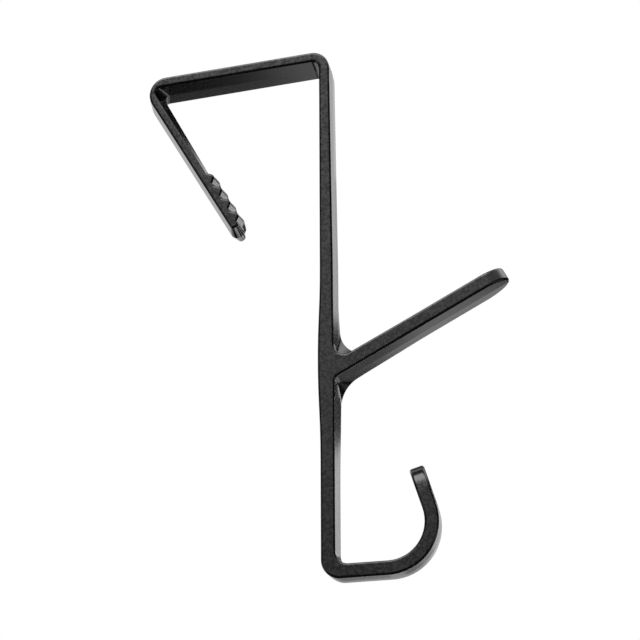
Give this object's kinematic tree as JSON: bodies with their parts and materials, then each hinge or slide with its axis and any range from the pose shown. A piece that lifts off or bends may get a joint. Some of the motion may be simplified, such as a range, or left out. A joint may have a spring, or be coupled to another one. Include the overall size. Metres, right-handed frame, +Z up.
{
  "type": "over door hook",
  "caption": "Moulded plastic strap hook with a toothed spring clip for the top of a door, a straight sloping arm and a J hook at the foot.",
  "frame": {"origin": "inside corner of the clip, where the top edge of the door meets its face, on the middle plane of the strap", "axes": "+Z up along the upright, +X away from the door towards the arm and hook, +Y across the strap's width"},
  "size_m": [0.1027, 0.0152, 0.151],
  "materials": {
    "black_plastic": "satin black with a fine speckled grain"
  },
  "bodies": {
    "root": {"over_door_hook": "black_plastic"}
  },
  "joints": []
}
